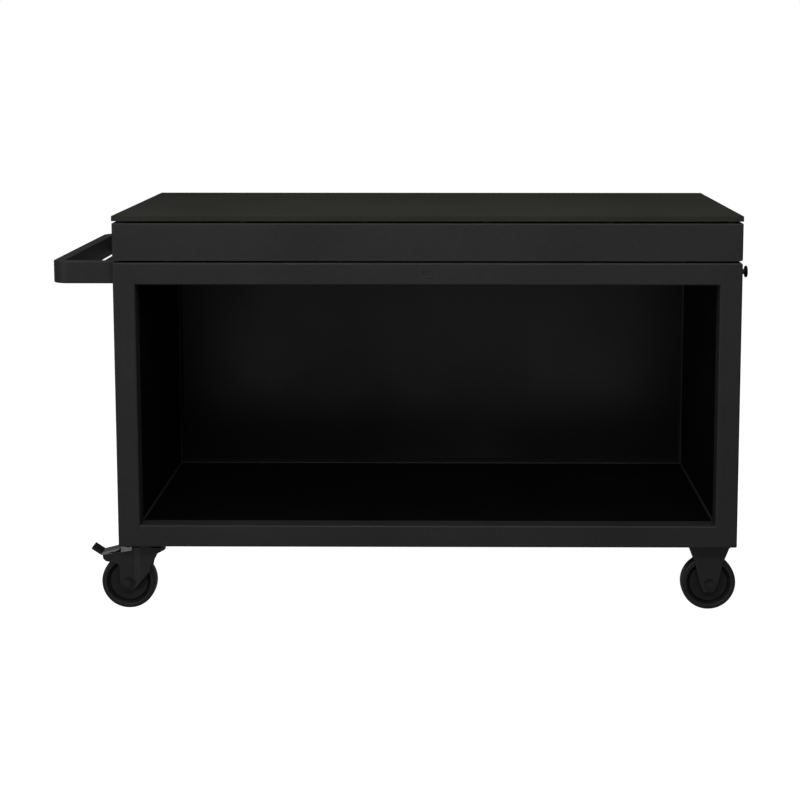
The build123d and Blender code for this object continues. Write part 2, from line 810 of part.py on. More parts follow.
def build_casters():
    """All four casters, and the fasteners that they share."""
    kingpins = []
    ball_sets = []
    fixed_axles = []
    for place, sy in (("front", -1), ("rear", 1)):
        left = place_caster(-1, sy)
        add(f"{place}_left_swivel_plate", left * swivel_plate())
        add(f"{place}_left_fork", left * fork())
        add(f"{place}_left_axle", *[left * piece for piece in axle_set(-trail)])
        add(f"{place}_left_tyre", left * tyre(-trail))
        add(f"{place}_left_wheel_core", left * wheel_core(-trail))
        add(f"{place}_left_brake_lever", left * brake_lever())
        add(f"{place}_left_lever_pin", left * lever_pin())
        add(f"{place}_left_pedal_pad", left * pedal_pad())
        add(f"{place}_left_brake_spring", left * brake_spring())
        kingpins.append(left * kingpin())
        ball_sets += [left * ball for ball in balls()]
        right = place_caster(1, sy)
        add(f"{place}_right_bracket", right * fixed_bracket())
        add(f"{place}_right_tyre", right * tyre(0))
        add(f"{place}_right_wheel_core", right * wheel_core(0))
        fixed_axles += [right * piece for piece in axle_set(0)]
    add("kingpins", *kingpins)
    add("swivel_balls", *ball_sets)
    add("fixed_caster_axles", *fixed_axles)

    bolts = []
    rivet_nuts = []
    seat = bottom - plate_sheet
    for x, y in caster_bolt_places():
        head = rod_z(caster_bolt_head_radius, seat - caster_bolt_head_height, seat, x, y)
        head = fillet(head.edges().sort_by(Axis.Z)[0], caster_bolt_head_height / 2)
        bolts.append(head + rod_z(caster_bolt_radius, seat, seat + plate_sheet + caster_bolt_grip, x, y))
        nut = rod_z(caster_bolt_radius + rivet_nut_wall, bottom, bottom + rivet_nut_length, x, y)
        bore = rod_z(caster_bolt_radius + thread_clearance, bottom - 1, bottom + rivet_nut_length + 1, x, y)
        rivet_nuts.append(nut - bore)
    add("caster_bolts", *bolts)
    add("caster_rivet_nuts", *rivet_nuts)


build_frame()
build_panels()
rubber_spacers = build_carrier()
build_slab(rubber_spacers)
build_handle()
build_trim()
build_casters()

os.makedirs("parts", exist_ok=True)
for node_name, shapes in nodes.items():
    placed = [Pos(cabinet_x, cabinet_y, 0) * shape for shape in shapes]
    export_step(placed[0] if len(placed) == 1 else Compound(placed), f"parts/{node_name}.step")
print(len(nodes), "nodes, height", slab_top)
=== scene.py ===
import json
import logging
import math
from collections.abc import Callable, Sequence
from dataclasses import dataclass
from enum import Enum

import bpy
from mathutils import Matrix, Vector


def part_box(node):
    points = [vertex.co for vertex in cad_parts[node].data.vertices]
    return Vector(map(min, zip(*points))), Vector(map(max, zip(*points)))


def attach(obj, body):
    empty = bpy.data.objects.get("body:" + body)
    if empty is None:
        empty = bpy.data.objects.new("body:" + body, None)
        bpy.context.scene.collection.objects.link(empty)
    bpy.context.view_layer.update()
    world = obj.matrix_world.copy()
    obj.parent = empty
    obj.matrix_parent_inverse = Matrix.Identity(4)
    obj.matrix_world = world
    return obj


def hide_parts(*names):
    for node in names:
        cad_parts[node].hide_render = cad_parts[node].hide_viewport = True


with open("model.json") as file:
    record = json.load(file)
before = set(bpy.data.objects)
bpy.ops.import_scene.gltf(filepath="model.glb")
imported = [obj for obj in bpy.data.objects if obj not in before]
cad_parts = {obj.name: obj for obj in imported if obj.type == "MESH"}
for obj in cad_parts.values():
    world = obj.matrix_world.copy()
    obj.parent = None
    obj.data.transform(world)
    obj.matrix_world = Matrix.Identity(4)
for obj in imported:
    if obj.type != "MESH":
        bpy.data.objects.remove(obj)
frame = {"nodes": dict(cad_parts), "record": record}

Point = tuple[float, float, float]
Pair = tuple[float, float]

LOG = logging.getLogger("rolling_cabinet")
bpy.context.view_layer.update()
SEED = 0.01             # first plane of an outline, before it is merged to one vertex
WELD = 0.000002         # vertices nearer than this are one
STEP_LINES = 6          # bend lines across a pressed step
ARC_STEP = 9.0          # degrees that one chord of a rounded corner turns
BEVEL_ANGLE = 32.0      # edges sharper than this are softened
BEVEL_SEGMENTS = 2
SMOOTH_ANGLE = 38.0     # edges sharper than this stay sharp in the shading
NOISE_LOW = 0.3         # most of a noise texture lies between these two
NOISE_HIGH = 0.7
PLATING_STRETCH = 0.08  # plating lines run this much slower along X than across it


class Axis(Enum):
    """A row axis, as a unit vector."""

    X = (1.0, 0.0, 0.0)
    Y = (0.0, 1.0, 0.0)
    Z = (0.0, 0.0, 1.0)


class Grain(Enum):
    """How a finish's fine relief is patterned."""

    ORANGE_PEEL = "orange_peel"
    STONE = "stone"
    MOULDED = "moulded"
    RUBBER = "rubber"
    PLATED = "plated"


# ---------------------------------------------------------------- finishes
@dataclass(frozen=True)
class Finish:
    """One procedural finish on Object coordinates.

    Colours are linear. The grain sizes are in metres, from crest to crest.
    """

    name: str
    colour: Point
    roughness: float
    grain: Grain
    specular: float = 0.5
    metallic: float = 0.0
    colour_swing: float = 0.15
    roughness_swing: float = 0.06
    patch_size: float = 0.25
    grain_size: float = 0.0012
    relief: float = 0.00003

    def material(self) -> bpy.types.Material:
        """Returns the finish's material, made the first time it is asked for.

        Returns:
            The node material.
        """
        known = bpy.data.materials.get(self.name)
        return known if known else self._build()

    def _build(self) -> bpy.types.Material:
        """Builds the node tree.

        Returns:
            The new material.
        """
        material = bpy.data.materials.new(self.name)
        material.use_nodes = True
        nodes = material.node_tree.nodes
        links = material.node_tree.links
        shader = nodes["Principled BSDF"]
        shader.inputs["Metallic"].default_value = self.metallic
        shader.inputs["Specular IOR Level"].default_value = self.specular
        place = nodes.new("ShaderNodeTexCoord")

        patches = self._noise(nodes, self.patch_size, detail=4.0)
        links.new(place.outputs["Object"], patches.inputs["Vector"])
        specks = self._noise(nodes, self.grain_size * 4, detail=3.0)
        links.new(place.outputs["Object"], specks.inputs["Vector"])
        blend = nodes.new("ShaderNodeMath")
        blend.operation = "ADD"
        links.new(patches.outputs["Fac"], blend.inputs[0])
        links.new(specks.outputs["Fac"], blend.inputs[1])

        colours = nodes.new("ShaderNodeMapRange")
        colours.data_type = "FLOAT_VECTOR"
        value, from_min, from_max, to_min, to_max = colours.inputs[6:11]
        from_min.default_value = [2 * NOISE_LOW + 0.1] * 3
        from_max.default_value = [2 * NOISE_HIGH - 0.1] * 3
        to_min.default_value = [channel * (1 - self.colour_swing) for channel in self.colour]
        to_max.default_value = [channel * (1 + self.colour_swing) for channel in self.colour]
        links.new(blend.outputs[0], value)
        links.new(colours.outputs[1], shader.inputs["Base Color"])

        rough = nodes.new("ShaderNodeMapRange")
        rough.inputs["From Min"].default_value = NOISE_LOW
        rough.inputs["From Max"].default_value = NOISE_HIGH
        rough.inputs["To Min"].default_value = self.roughness - self.roughness_swing
        rough.inputs["To Max"].default_value = self.roughness + self.roughness_swing
        links.new(patches.outputs["Fac"], rough.inputs["Value"])
        links.new(rough.outputs["Result"], shader.inputs["Roughness"])

        relief = self._relief(nodes, links, place)
        bump = nodes.new("ShaderNodeBump")
        bump.inputs["Strength"].default_value = 1.0
        bump.inputs["Distance"].default_value = self.relief
        links.new(relief, bump.inputs["Height"])
        links.new(bump.outputs["Normal"], shader.inputs["Normal"])
        return material

    def _noise(self, nodes: bpy.types.Nodes, size: float, detail: float) -> bpy.types.Node:
        """Adds a noise texture whose crests are about size apart.

        Args:
            nodes: The tree's nodes.
            size: Distance between crests in metres.
            detail: Octaves of finer noise.

        Returns:
            The texture node.
        """
        noise = nodes.new("ShaderNodeTexNoise")
        noise.inputs["Scale"].default_value = 1.0 / size
        noise.inputs["Detail"].default_value = detail
        return noise

    def _relief(self, nodes: bpy.types.Nodes, links: bpy.types.NodeLinks,
                place: bpy.types.Node) -> bpy.types.NodeSocket:
        """Adds the height pattern that suits the grain.

        Args:
            nodes: The tree's nodes.
            links: The tree's links.
            place: The texture coordinate node.

        Returns:
            The height socket.
        """
        if self.grain is Grain.STONE:
            cells = nodes.new("ShaderNodeTexVoronoi")
            cells.inputs["Scale"].default_value = 1.0 / self.grain_size
            links.new(place.outputs["Object"], cells.inputs["Vector"])
            return cells.outputs["Distance"]
        if self.grain is Grain.PLATED:
            stretch = nodes.new("ShaderNodeMapping")
            stretch.inputs["Scale"].default_value = (PLATING_STRETCH, 1.0, 1.0)
            links.new(place.outputs["Object"], stretch.inputs["Vector"])
            lines = self._noise(nodes, self.grain_size, detail=2.0)
            links.new(stretch.outputs["Vector"], lines.inputs["Vector"])
            return lines.outputs["Fac"]
        detail = {Grain.ORANGE_PEEL: 1.0, Grain.MOULDED: 3.0, Grain.RUBBER: 5.0}[self.grain]
        peel = self._noise(nodes, self.grain_size, detail=detail)
        links.new(place.outputs["Object"], peel.inputs["Vector"])
        return peel.outputs["Fac"]


POWDER_COAT = Finish("charcoal_powder_coat", (0.0105, 0.0105, 0.0107), 0.55, Grain.ORANGE_PEEL, specular=0.12,
                     grain_size=0.0016, relief=0.00002)
# Painted shade: the bay's floor, ceiling and side panels are coloured near black, far darker than the frame's
# coat, to stand in for the shade inside the bay.
BAY_PAINTED_SHADE = Finish("bay_painted_shade", (0.0009, 0.0009, 0.0009), 0.55, Grain.ORANGE_PEEL, specular=0.05,
                    grain_size=0.0016, relief=0.00002)
SLAB_STONE = Finish("black_sintered_stone", (0.0145, 0.0145, 0.0122), 0.9, Grain.STONE, specular=0.03,
                    colour_swing=0.25, patch_size=0.4, grain_size=0.0008, relief=0.00002)
# Painted shade: the back panel is coloured darker than the frame's coat to stand in for the shade inside the
# bay; its gloss is its own.
BACK_PANEL_PAINTED_SHADE = Finish("back_panel_painted_shade", (0.0035, 0.0035, 0.0035), 0.34, Grain.ORANGE_PEEL, specular=0.28,
                     grain_size=0.0016, relief=0.00002)
CASTER_COAT = Finish("black_caster_coat", (0.0065, 0.0065, 0.0065), 0.42, Grain.ORANGE_PEEL, specular=0.2,
                     grain_size=0.001, relief=0.00002, patch_size=0.03)
TYRE_RUBBER = Finish("black_tyre_rubber", (0.0065, 0.0065, 0.0065), 0.5, Grain.RUBBER, specular=0.18,
                     grain_size=0.0009, relief=0.00004, patch_size=0.02)
CORE_PLASTIC = Finish("black_wheel_plastic", (0.0045, 0.0045, 0.0045), 0.5, Grain.MOULDED, specular=0.15,
                      grain_size=0.0007, relief=0.00003, patch_size=0.02)
PEDAL_PLASTIC = Finish("black_pedal_plastic", (0.005, 0.005, 0.005), 0.5, Grain.MOULDED, specular=0.15,
                       grain_size=0.0007, relief=0.00004, patch_size=0.02)
PEG_PLASTIC = Finish("black_peg_plastic", (0.0015, 0.0015, 0.0015), 0.45, Grain.MOULDED, specular=0.08,
                     grain_size=0.0007, relief=0.00003, patch_size=0.02)
ZINC = Finish("zinc_plated_steel", (0.2, 0.2, 0.205), 0.42, Grain.PLATED, metallic=1.0, roughness_swing=0.1,
              patch_size=0.01, grain_size=0.0005, relief=0.00001)
BLACK_STEEL = Finish("blackened_steel", (0.006, 0.006, 0.006), 0.35, Grain.MOULDED, specular=0.2,
                     patch_size=0.01, grain_size=0.0006, relief=0.00001)
SPACER_RUBBER = Finish("black_spacer_rubber", (0.006, 0.006, 0.006), 0.8, Grain.RUBBER, specular=0.2,
                       patch_size=0.02, relief=0.00003)
NAMEPLATE_COAT = Finish("nameplate_coat", (0.008, 0.008, 0.008), 0.25, Grain.ORANGE_PEEL, specular=0.4,
                        patch_size=0.01, grain_size=0.0006, relief=0.000005)

SLOT_FINISHES = {
    "frame_paint": POWDER_COAT,
    "slab_stone": SLAB_STONE,
    "caster_steel": CASTER_COAT,
    "black_tyre": TYRE_RUBBER,
    "wheel_core": CORE_PLASTIC,
    "black_plastic": PEDAL_PLASTIC,
    "black_rubber": SPACER_RUBBER,
    "black_fasteners": BLACK_STEEL,
    "zinc_steel": ZINC,
    "nameplate": NAMEPLATE_COAT,
}
# Painted shade: the bay's panels take these darker finishes in place of the frame's coat.
PAINTED_SHADE_FINISHES = {
    "bay_floor": BAY_PAINTED_SHADE,
    "bay_ceiling": BAY_PAINTED_SHADE,
    "left_side_panel": BAY_PAINTED_SHADE,
    "right_side_panel": BAY_PAINTED_SHADE,
    "back_panel": BACK_PANEL_PAINTED_SHADE,
}


def dress_nodes() -> None:
    """Gives every CAD node the finish of its material slot, except the bay's panels, which take darker
    painted-shade finishes.
    """
    for row in frame["record"]["subparts"]:
        name = row["node"]
        finish = PAINTED_SHADE_FINISHES.get(name, SLOT_FINISHES[row["material_slot"]])
        node = frame["nodes"][name]
        node.data.materials.clear()
        node.data.materials.append(finish.material())


# ---------------------------------------------------------------- bench tools
def clear_selection() -> None:
    """Goes to object mode with nothing selected."""
    if bpy.context.object is not None and bpy.context.object.mode != "OBJECT":
        bpy.ops.object.mode_set(mode="OBJECT")
    bpy.ops.object.select_all(action="DESELECT")


def take_up(piece: bpy.types.Object) -> None:
    """Selects one piece alone and makes it active.

    Args:
        piece: The piece.
    """
    clear_selection()
    piece.select_set(True)
    bpy.context.view_layer.objects.active = piece


def open_mesh(piece: bpy.types.Object, select: str = "SELECT") -> None:
    """Enters edit mode on a piece.

    Args:
        piece: The piece.
        select: SELECT to start with all of its mesh selected, DESELECT with none of it.
    """
    take_up(piece)
    bpy.ops.object.mode_set(mode="EDIT")
    bpy.ops.mesh.select_mode(type="VERT")
    bpy.ops.mesh.select_all(action=select)


def close_mesh() -> None:
    """Leaves edit mode."""
    bpy.ops.object.mode_set(mode="OBJECT")


def draw_outline(name: str, points: Sequence[Point]) -> bpy.types.Object:
    """Draws a chain of edges, one extrude at a time, from a plane merged to one vertex.

    Args:
        name: The piece's name.
        points: The chain's points.

    Returns:
        The chain, with its object at the origin.
    """
    clear_selection()
    bpy.ops.mesh.primitive_plane_add(size=SEED, location=points[0])
    piece = bpy.context.object
    piece.name = name
    piece.data.name = name
    bpy.ops.object.transform_apply(location=True)
    open_mesh(piece)
    bpy.ops.mesh.merge(type="CENTER")
    for start, end in zip(points, points[1:]):
        step = Vector(end) - Vector(start)
        bpy.ops.mesh.extrude_vertices_move(TRANSFORM_OT_translate={"value": step})
    close_mesh()
    return piece


def extrude_outline(name: str, points: Sequence[Point], step: Point) -> bpy.types.Object:
    """Fills an outline and extrudes it to a solid.

    Args:
        name: The piece's name.
        points: The outline's points in order, in one plane.
        step: The extrusion.

    Returns:
        The solid.
    """
    piece = draw_outline(name, points)
    open_mesh(piece)
    bpy.ops.mesh.edge_face_add()
    bpy.ops.mesh.extrude_region_move(TRANSFORM_OT_translate={"value": Vector(step)})
    bpy.ops.mesh.select_all(action="SELECT")
    bpy.ops.mesh.normals_make_consistent(inside=False)
    close_mesh()
    return piece


def spin_profile(name: str, points: Sequence[Point], centre: Point, axis: Axis,
                 steps: int = 72) -> bpy.types.Object:
    """Spins a closed profile, or one that ends on the axis, into a round solid.

    Args:
        name: The piece's name.
        points: The profile's points.
        centre: A point on the axis.
        axis: The axis.
        steps: Facets round the axis.

    Returns:
        The round solid.
    """
    piece = draw_outline(name, points)
    open_mesh(piece)
    bpy.ops.mesh.spin(steps=steps, angle=math.tau, center=centre, axis=axis.value)
    bpy.ops.mesh.select_all(action="SELECT")
    bpy.ops.mesh.remove_doubles(threshold=WELD)
    bpy.ops.mesh.normals_make_consistent(inside=False)
    close_mesh()
    return piece


def soften(piece: bpy.types.Object, width: float) -> bpy.types.Object:
    """Rounds a piece's sharp edges.

    Args:
        piece: The piece.
        width: Width of the rounding.

    Returns:
        The same piece.
    """
    take_up(piece)
    edges = piece.modifiers.new("soft_edges", "BEVEL")
    edges.width = width
    edges.segments = BEVEL_SEGMENTS
    edges.limit_method = "ANGLE"
    edges.angle_limit = math.radians(BEVEL_ANGLE)
    edges.use_clamp_overlap = True
    bpy.ops.object.modifier_apply(modifier=edges.name)
    return piece


def select_where(piece: bpy.types.Object, test: Callable[[Vector], bool]) -> None:
    """Selects only the open mesh's vertices that pass a test, with the edges and faces between them.

    Args:
        piece: The piece, open in edit mode.
        test: Says of a vertex's place whether it is wanted.
    """
    close_mesh()
    for vertex in piece.data.vertices:
        vertex.select = test(vertex.co)
    for side in (*piece.data.edges, *piece.data.polygons):
        side.select = all(piece.data.vertices[i].select for i in side.vertices)
    bpy.ops.object.mode_set(mode="EDIT")


def press_step(piece: bpy.types.Object, start: float, end: float, rise: float, front: float) -> None:
    """Presses a smooth step into an upright sheet, so that all past it stands further along Y.

    Args:
        piece: The sheet, which lies across Y.
        start: X where the step starts.
        end: X where it ends.
        rise: The whole step.
        front: Only what lies before this Y moves.
    """
    open_mesh(piece)
    for i in range(STEP_LINES + 1):
        line = start + (end - start) * i / STEP_LINES
        bpy.ops.mesh.select_all(action="SELECT")
        bpy.ops.mesh.bisect(plane_co=(line, 0, 0), plane_no=(1, 0, 0))
    close_mesh()
    past = [vertex.co.x for vertex in piece.data.vertices if vertex.co.x > start + WELD]
    places = sorted({round(x, 6) for x in past})
    pressed = 0.0
    for place in places:
        share = min((place - start) / (end - start), 1.0)
        depth = rise * share * share * (3 - 2 * share)
        open_mesh(piece, "DESELECT")
        select_where(piece, lambda spot: spot.x > place - WELD and spot.y < front)
        bpy.ops.transform.translate(value=(0, depth - pressed, 0))
        close_mesh()
        pressed = depth
        if share == 1.0:
            break


def mirrored(piece: bpy.types.Object, y: float) -> bpy.types.Object:
    """Makes a mirror copy on the other side of a plane across Y.

    Args:
        piece: The piece.
        y: The mirror plane.

    Returns:
        The copy.
    """
    take_up(piece)
    bpy.ops.object.duplicate()
    copy = bpy.context.object
    open_mesh(copy)
    bpy.ops.transform.resize(value=(1, -1, 1), center_override=(0, y, 0))
    bpy.ops.mesh.normals_make_consistent(inside=False)
    close_mesh()
    return copy


def moved_copy(piece: bpy.types.Object, name: str, step: Point) -> bpy.types.Object:
    """Copies a piece with its own mesh, and moves the copy.

    Args:
        piece: The piece.
        name: The copy's name.
        step: The move.

    Returns:
        The copy.
    """
    take_up(piece)
    bpy.ops.object.duplicate()
    copy = bpy.context.object
    copy.name = name
    copy.data.name = name
    bpy.ops.transform.translate(value=step)
    bpy.ops.object.transform_apply(location=True)
    return copy


def joined(name: str, pieces: Sequence[bpy.types.Object]) -> bpy.types.Object:
    """Joins pieces into the first of them.

    Args:
        name: The joined piece's name.
        pieces: The pieces.

    Returns:
        The joined piece.
    """
    take_up(pieces[0])
    for piece in pieces[1:]:
        piece.select_set(True)
    bpy.ops.object.join()
    whole = bpy.context.object
    whole.name = name
    whole.data.name = name
    return whole


def fit(piece: bpy.types.Object, body: str, finish: Finish, slot: str, *nodes: str) -> None:
    """Shades and dresses a piece, hangs it on its body and lets it stand for CAD nodes.

    Args:
        piece: The finished mesh.
        body: The body that it rides on.
        finish: Its finish.
        slot: The record's material slot; not used.
        nodes: The CAD nodes that it stands for.
    """
    take_up(piece)
    bpy.ops.object.shade_smooth_by_angle(angle=math.radians(SMOOTH_ANGLE))
    even = piece.modifiers.new("even_shading", "WEIGHTED_NORMAL")
    even.keep_sharp = True
    bpy.ops.object.modifier_apply(modifier=even.name)
    piece.data.materials.clear()
    piece.data.materials.append(finish.material())
    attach(piece, body)
    if nodes:
        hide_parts(*nodes)
    LOG.info("%s: %d faces on %s", piece.name, len(piece.data.polygons), body)


def arc(centre: Pair, radius: float, start: float, end: float, steps: int = 10) -> list[Pair]:
    """Points along an arc.

    Args:
        centre: The arc's centre.
        radius: Its radius.
        start: Its first angle in degrees.
        end: Its last angle in degrees.
        steps: Its number of chords.

    Returns:
        The points.
    """
    turns = [math.radians(start + (end - start) * i / steps) for i in range(steps + 1)]
    return [(centre[0] + radius * math.cos(t), centre[1] + radius * math.sin(t)) for t in turns]


def rounded(corners: Sequence[tuple[float, float, float]]) -> list[Pair]:
    """Rounds the corners of a closed outline.

    Args:
        corners: Each corner's two coordinates and its radius.

    Returns:
        The outline's points.
    """
    points: list[Pair] = []
    for i, (u, v, radius) in enumerate(corners):
        here = Vector((u, v))
        if radius == 0:
            points.append((u, v))
            continue
        back = (Vector(corners[i - 1][:2]) - here).normalized()
        ahead = (Vector(corners[(i + 1) % len(corners)][:2]) - here).normalized()
        half = back.angle(ahead) / 2
        centre = here + (back + ahead).normalized() * (radius / math.sin(half))
        first = here + back * (radius / math.tan(half)) - centre
        last = here + ahead * (radius / math.tan(half)) - centre
        start = math.degrees(math.atan2(first.y, first.x))
        sweep = (math.degrees(math.atan2(last.y, last.x)) - start + 180) % 360 - 180
        steps = max(2, round(abs(sweep) / ARC_STEP))
        points += arc((centre.x, centre.y), radius, start, start + sweep, steps)
    return points


def middle(node: str) -> Vector:
    """Returns the middle of a CAD node's box."""
    low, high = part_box(node)
    return (Vector(low) + Vector(high)) / 2


# ---------------------------------------------------------------- wheels
@dataclass
class Wheels:
    """The four wheels: a crowned tyre and a dished core with a deep ring at its edge."""

    names: tuple[str, ...] = ("front_left", "rear_left", "front_right", "rear_right")
    shoulder: float = 0.006
    crown: float = 0.0004
    bead: float = 0.002
    mark_radius: float = 0.0572
    mark: float = 0.0005
    rim_inset: float = 0.004
    rim_width: float = 0.0016
    ring_width: float = 0.0045
    ring_floor: float = 0.0055
    dish: float = 0.0105
    dish_fall: float = 0.002
    hub_radius: float = 0.0165
    soft: float = 0.0012
    bore: float = 0.00705
    facets: int = 96

    def build(self) -> None:
        """Makes one tyre and one core and copies them to every wheel."""
        first = self.names[0]
        tread, core = self._tyre(first), self._core(first)
        pieces = [(first, tread, core)]
        for wheel in self.names[1:]:
            step = middle(f"{wheel}_tyre") - middle(f"{first}_tyre")
            pieces.append((
                wheel,
                moved_copy(tread, f"{wheel}_tread", step),
                moved_copy(core, f"{wheel}_dished_core", step),
            ))
        for wheel, tread, core in pieces:
            fit(tread, f"{wheel}_wheel", TYRE_RUBBER, "black_tyre", f"{wheel}_tyre")
            fit(core, f"{wheel}_wheel", CORE_PLASTIC, "wheel_core", f"{wheel}_wheel_core")

    def _tyre(self, wheel: str) -> bpy.types.Object:
        """Spins the tyre.

        Args:
            wheel: The wheel's name.

        Returns:
            The tyre.
        """
        low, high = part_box(f"{wheel}_tyre")
        core_low, core_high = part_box(f"{wheel}_wheel_core")
        outer = (high.z - low.z) / 2
        half = (high.y - low.y) / 2
        inner = (core_high.z - core_low.z) / 2
        edge = outer - self.crown
        side = arc((inner + self.bead, half - self.bead), self.bead, 180, 90, 4)
        side += [
            (self.mark_radius - self.mark, half),
            (self.mark_radius, half - self.mark),
            (self.mark_radius + self.mark, half),
        ]
        side += arc((edge - self.shoulder, half - self.shoulder), self.shoulder, 90, 0, 7)
        side.append((outer - self.crown / 4, half / 3))
        return self._spin(f"{wheel}_tread", [*side, (outer, 0.0), *opposite(side), side[0]], wheel)

    def _core(self, wheel: str) -> bpy.types.Object:
        """Spins the core.

        Args:
            wheel: The wheel's name.

        Returns:
            The core.
        """
        low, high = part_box(f"{wheel}_wheel_core")
        tyre_low, tyre_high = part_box(f"{wheel}_tyre")
        outer = (high.z - low.z) / 2
        hub = (high.y - low.y) / 2
        rim = (tyre_high.y - tyre_low.y) / 2 - self.rim_inset
        wall = outer - self.rim_width
        ring = wall - self.ring_width
        soft, floor, dish = self.soft, self.ring_floor, self.dish
        low_dish = dish - self.dish_fall
        side = [
            (outer, rim - soft / 2), (outer - soft / 2, rim),
            (wall + soft / 2, rim), (wall, rim - soft / 2),
            (wall - soft / 2, floor + soft), (wall - soft * 1.5, floor),
            (ring + soft, floor), (ring, floor + soft),
            (ring - soft / 2, dish - soft), (ring - soft * 1.5, dish),
            (self.hub_radius + soft * 6, low_dish), (self.hub_radius + soft, low_dish),
            (self.hub_radius, low_dish + soft),
            (self.hub_radius - soft / 2, hub - soft), (self.hub_radius - soft * 1.5, hub),
            (self.bore, hub),
        ]
        return self._spin(f"{wheel}_dished_core", [*side, *opposite(side), side[0]], wheel)

    def _spin(self, name: str, profile: Sequence[Pair], wheel: str) -> bpy.types.Object:
        """Spins a profile of radius and Y round a wheel's axle.

        Args:
            name: The piece's name.
            profile: The closed profile.
            wheel: The wheel's name.

        Returns:
            The round solid.
        """
        centre = middle(f"{wheel}_tyre")
        points = [(centre.x, centre.y + y, centre.z + radius) for radius, y in profile]
        return spin_profile(name, points, centre, Axis.Y, self.facets)


def opposite(side: Sequence[Pair]) -> list[Pair]:
    """Returns the other side of a wheel's profile, in reverse order."""
    return [(radius, -y) for radius, y in reversed(side)]


# ---------------------------------------------------------------- casters
def leg_face(place: str) -> float:
    """Returns Y of a front or rear caster leg's outer face, before its wheel."""
    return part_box(f"{place}_left_brake_spring")[0].y


def axle_ring(name: str, axle: Vector, face: float, radii: Pair, thick: float) -> bpy.types.Object:
    """Turns a ring round the axle on each outer face of a caster's legs.

    Args:
        name: The piece's name.
        axle: The wheel's middle.
        face: Y of the front face.
        radii: The ring's inner and outer radius.
        thick: The ring's thickness.

    Returns:
        Both rings as one piece.
    """
    bore, outer = radii
    soft = thick / 3
    ring = [
        (bore, face), (bore, face - thick + soft), (bore + soft, face - thick),
        (outer - soft, face - thick), (outer, face - thick + soft), (outer, face), (bore, face),
    ]
    front = spin_profile(name, [(axle.x, y, axle.z + radius) for radius, y in ring], axle, Axis.Y, 56)
    return joined(name, [front, mirrored(front, axle.y)])


